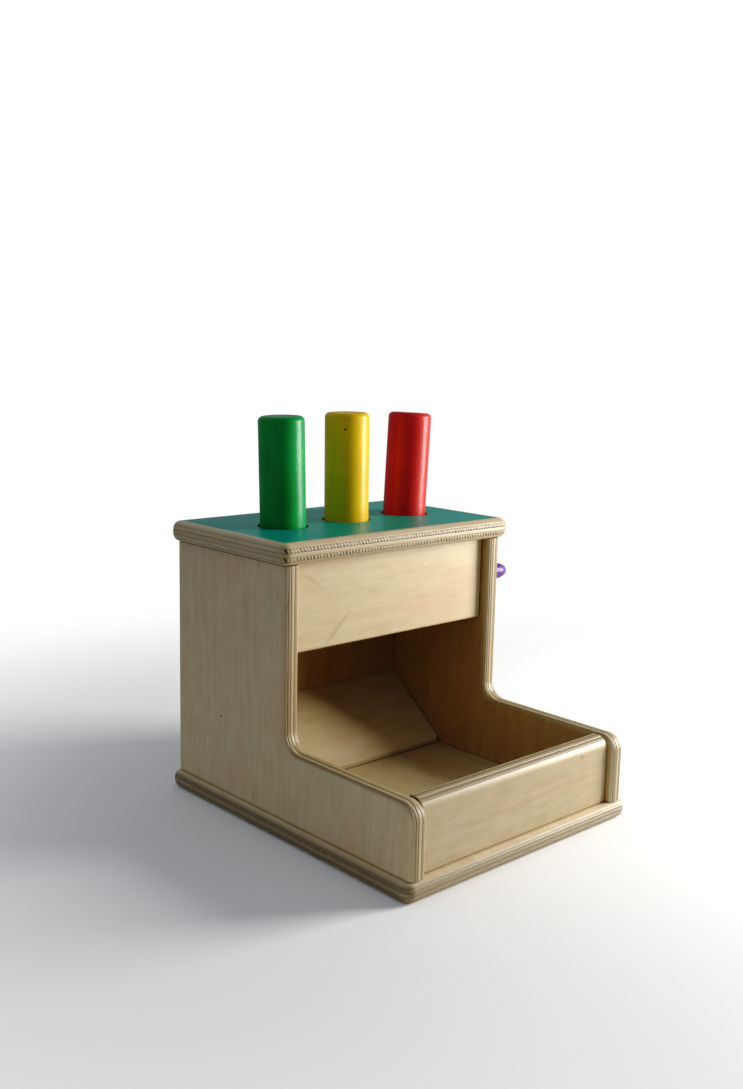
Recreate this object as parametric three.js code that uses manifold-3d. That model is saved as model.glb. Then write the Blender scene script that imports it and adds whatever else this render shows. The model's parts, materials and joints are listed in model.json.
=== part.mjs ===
// A toddler's tap-peg box: a plywood tower that holds three round pegs in its lid,
// a ramp inside the tower, and a tray in front that catches a peg tapped through.
//
// Units are millimetres. +X is to the right as a child faces the tray, +Y runs to the back,
// +Z is up. The origin is the middle of the base board's underside.
//
// Order: driving dimensions, solids and cuts, boards, fasteners, pegs, assembly.

import * as THREE from 'three';
import { mergeVertices } from 'three/addons/utils/BufferGeometryUtils.js';
import Module from 'manifold-3d';

const wasm = await Module();
wasm.setup();

// ---------------------------------------------------------------- driving dimensions

const GAP = 0.3; // clearance kept between pieces that touch
const PLY = 8.5; // five-ply board used for every piece but the lid
const LID_PLY = 10; // the lid is one size thicker

const BOX_WIDTH = 140; // over the outer faces of the side walls
const WALL_LENGTH = 168; // side wall, front edge to back edge
const TOWER_DEPTH = 85.4; // tall part of a side wall
const TOWER_HEIGHT = 116; // tall part, above the base board
const TRAY_HEIGHT = 32.5; // low part, above the base board
const WALL_EDGE_R = 2.8; // hand-sanded round on the walls' free edges
const TRAY_CORNER_R = 8; // front top corner of a side wall
const TOWER_FILLET_R = 8.5; // where the tray edge sweeps up into the tower

const BASE_OVERHANG_SIDE = 3.5;
const BASE_OVERHANG_END = 1.5;
const BASE_EDGE_R = 3.5;
const BASE_CORNER_R = 5;

const LID_OVERHANG_SIDE = 3.6;
const LID_OVERHANG_FRONT = 2.8;
const LID_OVERHANG_BACK = 1.5;
const LID_EDGE_R = 4;
const LID_CORNER_R = 5;

const FASCIA_RECESS = 4.7; // behind the tower's front edge
const FASCIA_HEIGHT = 41.4;
const FASCIA_EDGE_R = 1.5;
const TRAY_BOARD_RECESS = 3.3; // behind the side walls' front edge
const TRAY_BOARD_EDGE_R = 5.5;
const BACK_RECESS = 9.5; // back panel, in front of the walls' back edge

const RAMP_THICKNESS = 7;
const RAMP_RUN = 37; // foot to back panel
const RAMP_FOOT_LIP = 2.2; // blunt edge left at the foot
const RAMP_TOP_RISE = 32.7; // above the base board, at the back panel
const RAMP_CORNER_R = 3;
const CLEAT_DEPTH = 9;
const CLEAT_HEIGHT = 14;
const CLEAT_SCREW_X = 22;
const CLEAT_END_CLEAR = 10; // air at each end of the cleat, so that it drops in easily

const PEG_RADIUS = 11;
const PEG_LENGTH = 80;
const PEG_END_R = 2.4;
const HOLE_RADIUS = 12.2;
const HOLE_PITCH = 39.9;
const HOLE_ROW_SHIFT = 0.6; // the drilled row sits a touch to the right of centre
const HOLE_ROW_Y = 39.8;
// Each peg leans a little in its loose hole: name, place in the row, lean to the right in
// degrees, height standing above the lid, colour.
const PEGS = [
  { colour: 'green', slot: -1, leanDeg: -1.9, stand: 52.2, hex: 0x0a7a3c },
  { colour: 'yellow', slot: 0, leanDeg: -0.7, stand: 53.0, hex: 0xc9a800 },
  { colour: 'red', slot: 1, leanDeg: 2.8, stand: 52.2, hex: 0xb81f1f },
];

const RING_THICKNESS = 3;
const RING_INNER_R = PEG_RADIUS + GAP;
const RING_OUTER_R = 14.8;
const RING_POCKET_R = 15.6; // a loose pocket, so that a ring follows its peg's lean
const RING_POCKET_DEPTH = 3.4;

const SCREW_SHANK_R = 2;
const SCREW_HEAD_R = 4;
const SCREW_HEAD_HEIGHT = 2.8;
const SCREW_HEAD_RIM = 0.3; // straight rim of the head, broken by a small chamfer
const SCREW_RIM_CHAMFER = 0.2;
const SCREW_TIP = 4; // length of the point
const SCREW_SINK = 0.3; // heads sit just below the face, so that they scratch nothing
const RECESS_HALF = 0.45; // cross recess in the head: half its width, its reach, its depth
const RECESS_REACH = 2.2;
const RECESS_DEPTH = 1.6;
const BASE_SCREW_LENGTH = 30;
const SHORT_SCREW_LENGTH = 15;
const DOWEL_R = 3;
const DOWEL_CHAMFER = 0.8;
const LID_DOWEL_LENGTH = 17;
const LID_DOWEL_IN_WALL = 11;
const FASCIA_DOWEL_LENGTH = 18;
const FASCIA_DOWEL_IN_WALL = 5.5;
const FASCIA_DOWEL_RISE = 10; // lower pin, above the fascia's foot
const FASCIA_DOWEL_DROP = 5.5; // upper pin, below the walls' top

const SIDE_PEG_R = 4; // small hanging peg on the right wall
const SIDE_PEG_REACH = 13.4; // out of the wall
const SIDE_PEG_DOME = 7.5; // length of its rounded end
const SIDE_PEG_IN_WALL = 6.5;
const SIDE_PEG_Y = 8; // behind the tower's front edge
const SIDE_PEG_DROP = 19.4; // below the top of the wall

// ---------------------------------------------------------------- places worked out

const WALL_FRONT = -WALL_LENGTH / 2;
const WALL_BACK = WALL_LENGTH / 2;
const TOWER_FRONT = WALL_BACK - TOWER_DEPTH;
const FLOOR = PLY; // top of the base board
const WALL_FOOT = FLOOR + GAP;
const WALL_TOP = FLOOR + TOWER_HEIGHT;
const TRAY_TOP = FLOOR + TRAY_HEIGHT;
const LID_UNDER = WALL_TOP + GAP;
const LID_TOP = LID_UNDER + LID_PLY;
const WALL_X = (BOX_WIDTH - PLY) / 2; // middle of a side wall's thickness
const INNER_WIDTH = BOX_WIDTH - 2 * PLY - 2 * GAP; // boards that fit between the walls
const BACK_FACE = WALL_BACK - BACK_RECESS; // rear face of the back panel
const BACK_INNER = BACK_FACE - PLY;
const FASCIA_FRONT = TOWER_FRONT + FASCIA_RECESS;
const FASCIA_BACK = FASCIA_FRONT + PLY;
const FASCIA_FOOT = WALL_TOP - FASCIA_HEIGHT;
const TRAY_BOARD_FRONT = WALL_FRONT + TRAY_BOARD_RECESS;
const TRAY_BOARD_BACK = TRAY_BOARD_FRONT + PLY;
const GUIDE_UNDER = WALL_TOP - PLY;
const CUT = 5; // how far a cutting tool runs past the face that it opens

// How finely round shapes are drawn: flats in a full turn, or steps in a quarter turn.
const FINE_TURN = 64;
const PEG_TURN = 48;
const SMALL_TURN = 32;
const PIN_TURN = 24;
const SCREW_TURN = 20;
const OUTLINE_STEPS = 8;
const CORNER_STEPS = 6;
const WALL_ROUND_STEPS = 4;
const BOARD_ROUND_STEPS = 5;
const PEG_ROUND_STEPS = 5;
const DOME_STEPS = 8;

const RAMP_BACK = BACK_INNER - GAP;
const RAMP_FOOT = RAMP_BACK - RAMP_RUN;
const RAMP_SLOPE = (RAMP_TOP_RISE - GAP - RAMP_FOOT_LIP) / RAMP_RUN;
const RAMP_PLUMB = RAMP_THICKNESS * Math.hypot(1, RAMP_SLOPE); // thickness measured upright
const rampTopAt = (y) => WALL_FOOT + RAMP_FOOT_LIP + (y - RAMP_FOOT) * RAMP_SLOPE;
const rampUnderAt = (y) => rampTopAt(y) - RAMP_PLUMB;

const pegX = (peg) => HOLE_ROW_SHIFT + peg.slot * HOLE_PITCH;

// ---------------------------------------------------------------- solids and cuts

function toSolid(geometry) {
  const bare = geometry.index ? geometry.toNonIndexed() : geometry.clone();
  bare.deleteAttribute('normal');
  bare.deleteAttribute('uv');
  const welded = mergeVertices(bare, 1e-4);
  return new wasm.Manifold(new wasm.Mesh({
    numProp: 3,
    vertProperties: new Float32Array(welded.attributes.position.array),
    triVerts: new Uint32Array(welded.index.array),
  }));
}

function toGeometry(solid) {
  const mesh = solid.getMesh();
  const geometry = new THREE.BufferGeometry();
  geometry.setAttribute('position', new THREE.BufferAttribute(new Float32Array(mesh.vertProperties), 3));
  geometry.setIndex(new THREE.BufferAttribute(new Uint32Array(mesh.triVerts), 1));
  const faceted = geometry.toNonIndexed();
  faceted.computeVertexNormals();
  return faceted;
}

// Takes each cutter out of a geometry and hands back the plain geometry that is left.
function cutAway(geometry, cutters) {
  let solid = toSolid(geometry);
  for (const cutter of cutters) {
    solid = solid.subtract(toSolid(cutter));
  }
  return toGeometry(solid);
}

function box([x0, x1], [y0, y1], [z0, z1]) {
  const geometry = new THREE.BoxGeometry(x1 - x0, y1 - y0, z1 - z0);
  return geometry.translate((x0 + x1) / 2, (y0 + y1) / 2, (z0 + z1) / 2);
}

// Upright cylinder from z0 to z1.
function rod(radius, x, y, [z0, z1], segments = PIN_TURN) {
  const geometry = new THREE.CylinderGeometry(radius, radius, z1 - z0, segments);
  return geometry.rotateX(Math.PI / 2).translate(x, y, (z0 + z1) / 2);
}

// Cylinder lying along X from x0 to x1.
function rodAlongX(radius, y, z, [x0, x1], segments = PIN_TURN) {
  const geometry = new THREE.CylinderGeometry(radius, radius, x1 - x0, segments);
  return geometry.rotateZ(Math.PI / 2).translate((x0 + x1) / 2, y, z);
}

// Turned piece: [radius, height] points spun about an upright axis.
function turned(points, segments) {
  const profile = points.map(([radius, height]) => new THREE.Vector2(radius, height));
  return new THREE.LatheGeometry(profile, segments).rotateX(Math.PI / 2);
}

// Side-view outline (Y across, Z up) drawn out along X, centred on the given x.
function outlineAlongX(shape, width, x, edgeR = 0) {
  const geometry = new THREE.ExtrudeGeometry(shape, {
    depth: width - 2 * edgeR,
    curveSegments: OUTLINE_STEPS,
    bevelEnabled: edgeR > 0,
    bevelThickness: edgeR,
    bevelSize: edgeR,
    bevelOffset: -edgeR,
    bevelSegments: WALL_ROUND_STEPS,
  });
  const upright = new THREE.Matrix4().makeBasis(
    new THREE.Vector3(0, 1, 0), new THREE.Vector3(0, 0, 1), new THREE.Vector3(1, 0, 0));
  return geometry.translate(0, 0, edgeR - width / 2).applyMatrix4(upright).translate(x, 0, 0);
}

// Flat board with round corners in plan and rounded long edges.
function softBoard([x0, x1], [y0, y1], [z0, z1], cornerR, edgeR) {
  const plan = new THREE.Shape();
  plan.moveTo(x0 + cornerR, y0);
  plan.absarc(x1 - cornerR, y0 + cornerR, cornerR, -Math.PI / 2, 0);
  plan.absarc(x1 - cornerR, y1 - cornerR, cornerR, 0, Math.PI / 2);
  plan.absarc(x0 + cornerR, y1 - cornerR, cornerR, Math.PI / 2, Math.PI);
  plan.absarc(x0 + cornerR, y0 + cornerR, cornerR, Math.PI, 1.5 * Math.PI);
  const geometry = new THREE.ExtrudeGeometry(plan, {
    depth: z1 - z0 - 2 * edgeR,
    curveSegments: CORNER_STEPS,
    bevelThickness: edgeR,
    bevelSize: edgeR,
    bevelOffset: -edgeR,
    bevelSegments: BOARD_ROUND_STEPS,
  });
  return geometry.translate(0, 0, z0 + edgeR);
}

const group = new THREE.Group();

function addPiece(name, geometry, finish) {
  const mesh = new THREE.Mesh(geometry, new THREE.MeshStandardMaterial(finish));
  mesh.name = name;
  group.add(mesh);
  return mesh;
}

const PLY_FINISH = { color: 0xd8c39a, roughness: 0.55, metalness: 0 };
const LID_FINISH = { color: 0x2c7d72, roughness: 0.32, metalness: 0 };
const DOWEL_FINISH = { color: 0xcfae7c, roughness: 0.7, metalness: 0 };
const SCREW_FINISH = { color: 0xb9a266, roughness: 0.35, metalness: 1 };
const RUBBER_FINISH = { color: 0x2a2a2a, roughness: 0.85, metalness: 0 };
const PURPLE_FINISH = { color: 0x6d4a86, roughness: 0.35, metalness: 0 };

// ---------------------------------------------------------------- where fasteners go

const WALL_SCREW_ROWS = { front: -66, middle: 10, back: 72 };
const CROSS_SCREW_X = 40; // tray board and back panel, either side of the middle
const SIDES = { left: -1, right: 1 };

// Every screw that comes up through the base board: name and place.
const baseScrews = [];
for (const [side, sign] of Object.entries(SIDES)) {
  for (const [row, y] of Object.entries(WALL_SCREW_ROWS)) {
    baseScrews.push({ name: `base_screw_${side}_${row}`, x: sign * WALL_X, y });
  }
  baseScrews.push({
    name: `tray_board_screw_${side}`,
    x: sign * CROSS_SCREW_X,
    y: (TRAY_BOARD_FRONT + TRAY_BOARD_BACK) / 2,
  });
  baseScrews.push({
    name: `back_panel_screw_${side}`,
    x: sign * CROSS_SCREW_X,
    y: (BACK_INNER + BACK_FACE) / 2,
  });
}

// Screws that pull the guide board up against the lid, between the peg holes.
const GUIDE_SCREW_SPREAD = 17;
const guideScrews = [];
for (const [side, sign] of Object.entries(SIDES)) {
  for (const [row, rowSign] of Object.entries({ front: -1, back: 1 })) {
    guideScrews.push({
      name: `guide_screw_${side}_${row}`,
      x: HOLE_ROW_SHIFT + sign * HOLE_PITCH / 2,
      y: HOLE_ROW_Y + rowSign * GUIDE_SCREW_SPREAD,
    });
  }
}

const CLEAT_TOP_CLEAR = GAP;
const cleatFront = RAMP_BACK - CLEAT_DEPTH;
const cleatFoot = rampUnderAt(cleatFront) - CLEAT_HEIGHT;
const CLEAT_SCREW_Z = cleatFoot + CLEAT_HEIGHT / 2;

const LID_DOWEL_ROWS = { front: 20, back: 62 };
const FASCIA_DOWEL_ROWS = {
  lower: FASCIA_FOOT + FASCIA_DOWEL_RISE,
  upper: WALL_TOP - FASCIA_DOWEL_DROP,
};
const fasciaMid = (FASCIA_FRONT + FASCIA_BACK) / 2;
const dowelHoleR = DOWEL_R + GAP;
const wallInner = BOX_WIDTH / 2 - PLY;

// ---------------------------------------------------------------- fasteners

// Countersunk screw, head down at height 0, point up, with a cross recess in the head.
function screw(length) {
  const body = turned([
    [0, 0],
    [SCREW_HEAD_R - SCREW_RIM_CHAMFER, 0],
    [SCREW_HEAD_R, SCREW_HEAD_RIM],
    [SCREW_SHANK_R, SCREW_HEAD_HEIGHT],
    [SCREW_SHANK_R, length - SCREW_TIP],
    [0, length],
  ], SCREW_TURN);
  const long = [-RECESS_REACH, RECESS_REACH];
  const narrow = [-RECESS_HALF, RECESS_HALF];
  const along = box(long, narrow, [-CUT, RECESS_DEPTH]);
  const across = box(narrow, long, [-CUT, RECESS_DEPTH]);
  return cutAway(body, [along, across]);
}

// The clearance that a screw leaves in the boards, head down at height 0.
function screwHole(length) {
  const r = SCREW_SHANK_R + GAP;
  return turned([
    [0, -CUT],
    [SCREW_HEAD_R + GAP, -CUT],
    [SCREW_HEAD_R + GAP, SCREW_HEAD_RIM],
    [r, SCREW_HEAD_HEIGHT + GAP],
    [r, length + GAP],
    [0, length + GAP],
  ], SCREW_TURN);
}

const baseScrewHole = ({ x, y }) => screwHole(BASE_SCREW_LENGTH).translate(x, y, SCREW_SINK);
const guideScrewHole = ({ x, y }) => {
  return screwHole(SHORT_SCREW_LENGTH).translate(x, y, GUIDE_UNDER + SCREW_SINK);
};
const cleatScrewHole = (x) => {
  const hole = screwHole(SHORT_SCREW_LENGTH).rotateX(Math.PI / 2);
  return hole.translate(x, BACK_FACE - SCREW_SINK, CLEAT_SCREW_Z);
};

function dowel(length) {
  return turned([
    [0, 0],
    [DOWEL_R - DOWEL_CHAMFER, 0],
    [DOWEL_R, DOWEL_CHAMFER],
    [DOWEL_R, length - DOWEL_CHAMFER],
    [DOWEL_R - DOWEL_CHAMFER, length],
    [0, length],
  ], SCREW_TURN);
}

// ---------------------------------------------------------------- boards

function baseBoard() {
  const halfX = BOX_WIDTH / 2 + BASE_OVERHANG_SIDE;
  const halfY = WALL_LENGTH / 2 + BASE_OVERHANG_END;
  const board = softBoard([-halfX, halfX], [-halfY, halfY], [0, PLY], BASE_CORNER_R, BASE_EDGE_R);
  return cutAway(board, baseScrews.map(baseScrewHole));
}

// L-shaped wall: tall at the back, low along the tray, swept corner between the two.
function sideWall(sign) {
  const beyond = 2 * WALL_EDGE_R; // extra at foot and head, trimmed so both stay square
  const outline = new THREE.Shape();
  outline.moveTo(WALL_FRONT, FLOOR - beyond);
  outline.lineTo(WALL_BACK, FLOOR - beyond);
  outline.lineTo(WALL_BACK, WALL_TOP + beyond);
  outline.lineTo(TOWER_FRONT, WALL_TOP + beyond);
  outline.lineTo(TOWER_FRONT, TRAY_TOP + TOWER_FILLET_R);
  outline.absarc(TOWER_FRONT - TOWER_FILLET_R, TRAY_TOP + TOWER_FILLET_R,
    TOWER_FILLET_R, 0, -Math.PI / 2, true);
  outline.absarc(WALL_FRONT + TRAY_CORNER_R, TRAY_TOP - TRAY_CORNER_R,
    TRAY_CORNER_R, Math.PI / 2, Math.PI);
  outline.closePath();
  const plate = outlineAlongX(outline, PLY, sign * WALL_X, WALL_EDGE_R);
  const reach = BOX_WIDTH;
  const cutters = [
    box([-reach, reach], [-reach, reach], [-reach, WALL_FOOT]),
    box([-reach, reach], [-reach, reach], [WALL_TOP, 2 * reach]),
  ];
  for (const y of Object.values(WALL_SCREW_ROWS)) {
    cutters.push(baseScrewHole({ x: sign * WALL_X, y }));
  }
  for (const y of Object.values(LID_DOWEL_ROWS)) {
    const foot = WALL_TOP - LID_DOWEL_IN_WALL - GAP;
    cutters.push(rod(dowelHoleR, sign * WALL_X, y, [foot, WALL_TOP + CUT]));
  }
  for (const z of Object.values(FASCIA_DOWEL_ROWS)) {
    const ends = [wallInner - CUT, wallInner + FASCIA_DOWEL_IN_WALL + GAP];
    const span = sign > 0 ? ends : [-ends[1], -ends[0]];
    cutters.push(rodAlongX(dowelHoleR, fasciaMid, z, span));
  }
  if (sign > 0) {
    const outer = BOX_WIDTH / 2;
    const z = WALL_TOP - SIDE_PEG_DROP;
    const span = [outer - SIDE_PEG_IN_WALL - GAP, outer + CUT];
    cutters.push(rodAlongX(SIDE_PEG_R + GAP, TOWER_FRONT + SIDE_PEG_Y, z, span));
  }
  return cutAway(plate, cutters);
}

function backPanel() {
  const half = INNER_WIDTH / 2;
  const board = box([-half, half], [BACK_INNER, BACK_FACE], [WALL_FOOT, WALL_TOP]);
  const cutters = baseScrews.filter(({ name }) => name.startsWith('back')).map(baseScrewHole);
  cutters.push(cleatScrewHole(-CLEAT_SCREW_X));
  cutters.push(cleatScrewHole(CLEAT_SCREW_X));
  return cutAway(board, cutters);
}

// Lid: overhangs the walls, all its edges rounded, drilled for the three pegs.
function lidBoard() {
  const halfX = BOX_WIDTH / 2 + LID_OVERHANG_SIDE;
  const depth = [TOWER_FRONT - LID_OVERHANG_FRONT, WALL_BACK + LID_OVERHANG_BACK];
  const board = softBoard([-halfX, halfX], depth, [LID_UNDER, LID_TOP], LID_CORNER_R, LID_EDGE_R);
  const cutters = PEGS.map((peg) => {
    return rod(HOLE_RADIUS, pegX(peg), HOLE_ROW_Y, [LID_UNDER - CUT, LID_TOP + CUT], FINE_TURN);
  });
  for (const sign of Object.values(SIDES)) {
    for (const y of Object.values(LID_DOWEL_ROWS)) {
      const head = WALL_TOP - LID_DOWEL_IN_WALL + LID_DOWEL_LENGTH + GAP;
      cutters.push(rod(dowelHoleR, sign * WALL_X, y, [LID_UNDER - CUT, head]));
    }
  }
  cutters.push(...guideScrews.map(guideScrewHole));
  return cutAway(board, cutters);
}

// Guide board under the lid: the same three holes, each with a pocket for its grip ring.
function guideBoard() {
  const half = INNER_WIDTH / 2;
  const depth = [FASCIA_BACK + GAP, BACK_INNER - GAP];
  const board = box([-half, half], depth, [GUIDE_UNDER, WALL_TOP]);
  const cutters = [];
  for (const peg of PEGS) {
    const x = pegX(peg);
    cutters.push(rod(HOLE_RADIUS, x, HOLE_ROW_Y, [GUIDE_UNDER - CUT, WALL_TOP + CUT], FINE_TURN));
    const pocketFloor = WALL_TOP - RING_POCKET_DEPTH;
    cutters.push(rod(RING_POCKET_R, x, HOLE_ROW_Y, [pocketFloor, WALL_TOP + CUT], FINE_TURN));
  }
  cutters.push(...guideScrews.map(guideScrewHole));
  return cutAway(board, cutters);
}

function fasciaBoard() {
  const outline = new THREE.Shape();
  outline.moveTo(FASCIA_FRONT + FASCIA_EDGE_R, FASCIA_FOOT);
  outline.lineTo(FASCIA_BACK, FASCIA_FOOT);
  outline.lineTo(FASCIA_BACK, WALL_TOP);
  outline.lineTo(FASCIA_FRONT, WALL_TOP);
  outline.absarc(FASCIA_FRONT + FASCIA_EDGE_R, FASCIA_FOOT + FASCIA_EDGE_R,
    FASCIA_EDGE_R, Math.PI, 1.5 * Math.PI);
  const board = outlineAlongX(outline, INNER_WIDTH, 0);
  const cutters = [];
  for (const z of Object.values(FASCIA_DOWEL_ROWS)) {
    const inside = INNER_WIDTH / 2 - (FASCIA_DOWEL_LENGTH - FASCIA_DOWEL_IN_WALL) - GAP;
    cutters.push(rodAlongX(dowelHoleR, fasciaMid, z, [inside, BOX_WIDTH]));
    cutters.push(rodAlongX(dowelHoleR, fasciaMid, z, [-BOX_WIDTH, -inside]));
  }
  return cutAway(board, cutters);
}

function trayFrontBoard() {
  const outline = new THREE.Shape();
  outline.moveTo(TRAY_BOARD_FRONT, WALL_FOOT);
  outline.lineTo(TRAY_BOARD_BACK, WALL_FOOT);
  outline.lineTo(TRAY_BOARD_BACK, TRAY_TOP - GAP);
  outline.absarc(TRAY_BOARD_FRONT + TRAY_BOARD_EDGE_R, TRAY_TOP - GAP - TRAY_BOARD_EDGE_R,
    TRAY_BOARD_EDGE_R, Math.PI / 2, Math.PI);
  outline.closePath();
  const board = outlineAlongX(outline, INNER_WIDTH, 0);
  const mine = baseScrews.filter(({ name }) => name.startsWith('tray'));
  return cutAway(board, mine.map(baseScrewHole));
}

// Sloping board from the back panel down to the floor, its foot cut to lie flat.
function rampBoard() {
  const outline = new THREE.Shape();
  const flatEnd = RAMP_FOOT + (RAMP_PLUMB - RAMP_FOOT_LIP) / RAMP_SLOPE;
  outline.moveTo(RAMP_FOOT, WALL_FOOT);
  outline.lineTo(flatEnd, WALL_FOOT);
  outline.lineTo(RAMP_BACK, rampUnderAt(RAMP_BACK));
  outline.lineTo(RAMP_BACK, rampTopAt(RAMP_BACK));
  outline.lineTo(RAMP_FOOT, rampTopAt(RAMP_FOOT));
  outline.closePath();
  const board = toSolid(outlineAlongX(outline, INNER_WIDTH, 0));
  const half = INNER_WIDTH / 2;
  const plan = new THREE.Shape();
  plan.moveTo(-half + RAMP_CORNER_R, RAMP_FOOT);
  plan.absarc(half - RAMP_CORNER_R, RAMP_FOOT + RAMP_CORNER_R, RAMP_CORNER_R, -Math.PI / 2, 0);
  plan.lineTo(half, RAMP_BACK);
  plan.lineTo(-half, RAMP_BACK);
  plan.absarc(-half + RAMP_CORNER_R, RAMP_FOOT + RAMP_CORNER_R, RAMP_CORNER_R, Math.PI, 1.5 * Math.PI);
  const column = new THREE.ExtrudeGeometry(plan, {
    depth: WALL_TOP,
    curveSegments: CORNER_STEPS,
    bevelEnabled: false,
  });
  return toGeometry(board.intersect(toSolid(column)));
}

// Strip behind the ramp that carries its high end, screwed through the back panel.
function rampCleat() {
  const outline = new THREE.Shape();
  outline.moveTo(cleatFront, cleatFoot);
  outline.lineTo(RAMP_BACK, cleatFoot);
  outline.lineTo(RAMP_BACK, rampUnderAt(RAMP_BACK) - CLEAT_TOP_CLEAR);
  outline.lineTo(cleatFront, rampUnderAt(cleatFront) - CLEAT_TOP_CLEAR);
  outline.closePath();
  const width = INNER_WIDTH - 2 * CLEAT_END_CLEAR;
  const strip = outlineAlongX(outline, width, 0);
  return cutAway(strip, [cleatScrewHole(-CLEAT_SCREW_X), cleatScrewHole(CLEAT_SCREW_X)]);
}

// ---------------------------------------------------------------- pegs and rings

function roundPeg() {
  const points = [[0, 0]];
  const steps = PEG_ROUND_STEPS;
  for (let i = 0; i <= steps; i += 1) {
    const turn = (i / steps) * Math.PI / 2;
    const radius = PEG_RADIUS - PEG_END_R * (1 - Math.sin(turn));
    points.push([radius, PEG_END_R * (1 - Math.cos(turn))]);
  }
  for (let i = steps; i >= 0; i -= 1) {
    const turn = (i / steps) * Math.PI / 2;
    const radius = PEG_RADIUS - PEG_END_R * (1 - Math.sin(turn));
    points.push([radius, PEG_LENGTH - PEG_END_R * (1 - Math.cos(turn))]);
  }
  points.push([0, PEG_LENGTH]);
  return turned(points, PEG_TURN);
}

function gripRing() {
  const soft = 0.6; // rounding of the ring's rim
  return turned([
    [RING_INNER_R, soft],
    [RING_INNER_R + soft, 0],
    [RING_OUTER_R - soft, 0],
    [RING_OUTER_R, soft],
    [RING_OUTER_R, RING_THICKNESS - soft],
    [RING_OUTER_R - soft, RING_THICKNESS],
    [RING_INNER_R + soft, RING_THICKNESS],
    [RING_INNER_R, RING_THICKNESS - soft],
    [RING_INNER_R, soft],
  ], PEG_TURN);
}

// Small hanging peg: straight shank glued into the wall, rounded like an egg outside.
function sidePeg() {
  const domeFoot = SIDE_PEG_REACH - SIDE_PEG_DOME;
  const points = [[0, -SIDE_PEG_IN_WALL], [SIDE_PEG_R, -SIDE_PEG_IN_WALL], [SIDE_PEG_R, domeFoot]];
  for (let i = 1; i < DOME_STEPS; i += 1) {
    const turn = (i / DOME_STEPS) * Math.PI / 2;
    points.push([SIDE_PEG_R * Math.cos(turn), domeFoot + SIDE_PEG_DOME * Math.sin(turn)]);
  }
  points.push([0, SIDE_PEG_REACH]);
  return turned(points, SMALL_TURN);
}

// ---------------------------------------------------------------- assembly

addPiece('base_board', baseBoard(), PLY_FINISH);
addPiece('left_side_wall', sideWall(SIDES.left), PLY_FINISH);
addPiece('right_side_wall', sideWall(SIDES.right), PLY_FINISH);
addPiece('back_panel', backPanel(), PLY_FINISH);
addPiece('top_board', lidBoard(), LID_FINISH);
addPiece('fascia_board', fasciaBoard(), PLY_FINISH);
addPiece('tray_front_board', trayFrontBoard(), PLY_FINISH);
addPiece('ramp_board', rampBoard(), PLY_FINISH);
addPiece('ramp_cleat', rampCleat(), PLY_FINISH);
addPiece('peg_guide_board', guideBoard(), PLY_FINISH);

for (const peg of PEGS) {
  const lean = THREE.MathUtils.degToRad(peg.leanDeg);
  const ringZ = WALL_TOP - RING_POCKET_DEPTH + GAP;
  const below = LID_TOP - (ringZ + RING_THICKNESS / 2);

  const ring = addPiece(`${peg.colour}_grip_ring`, gripRing(), RUBBER_FINISH);
  ring.position.set(pegX(peg) - below * Math.tan(lean), HOLE_ROW_Y, ringZ);

  const finish = { color: peg.hex, roughness: 0.3, metalness: 0 };
  const body = addPiece(`${peg.colour}_peg`, roundPeg(), finish);
  const buried = PEG_LENGTH - peg.stand;
  body.rotation.y = lean;
  body.position.set(pegX(peg) - buried * Math.sin(lean), HOLE_ROW_Y, LID_TOP - buried * Math.cos(lean));
}

const hook = addPiece('side_peg', sidePeg(), PURPLE_FINISH);
hook.rotation.y = Math.PI / 2;
hook.position.set(BOX_WIDTH / 2, TOWER_FRONT + SIDE_PEG_Y, WALL_TOP - SIDE_PEG_DROP);

for (const { name, x, y } of baseScrews) {
  addPiece(name, screw(BASE_SCREW_LENGTH), SCREW_FINISH).position.set(x, y, SCREW_SINK);
}

for (const { name, x, y } of guideScrews) {
  const piece = addPiece(name, screw(SHORT_SCREW_LENGTH), SCREW_FINISH);
  piece.position.set(x, y, GUIDE_UNDER + SCREW_SINK);
}

for (const [side, sign] of Object.entries(SIDES)) {
  const cleatScrew = addPiece(`cleat_screw_${side}`, screw(SHORT_SCREW_LENGTH), SCREW_FINISH);
  cleatScrew.rotation.x = Math.PI / 2;
  cleatScrew.position.set(sign * CLEAT_SCREW_X, BACK_FACE - SCREW_SINK, CLEAT_SCREW_Z);

  for (const [row, y] of Object.entries(LID_DOWEL_ROWS)) {
    const pin = addPiece(`lid_dowel_${side}_${row}`, dowel(LID_DOWEL_LENGTH), DOWEL_FINISH);
    pin.position.set(sign * WALL_X, y, WALL_TOP - LID_DOWEL_IN_WALL);
  }

  for (const [row, z] of Object.entries(FASCIA_DOWEL_ROWS)) {
    const pin = addPiece(`fascia_dowel_${side}_${row}`, dowel(FASCIA_DOWEL_LENGTH), DOWEL_FINISH);
    pin.rotation.y = -sign * Math.PI / 2;
    pin.position.set(sign * (wallInner + FASCIA_DOWEL_IN_WALL), fasciaMid, z);
  }
}

export default group;
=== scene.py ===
# %% [markdown]
# # A tap-peg box, finished in Blender
# The frame holds the real sizes: a plywood box, its lid drilled for three round pegs, a ramp
# and a tray. This lesson gives each visible piece its own mesh and its own finish. We start by
# loading the frame and keeping its box, because nothing made here may grow past it.

# %% Load the frame
import json
import math

import bpy
import bmesh
from mathutils import Matrix, Vector


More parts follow.
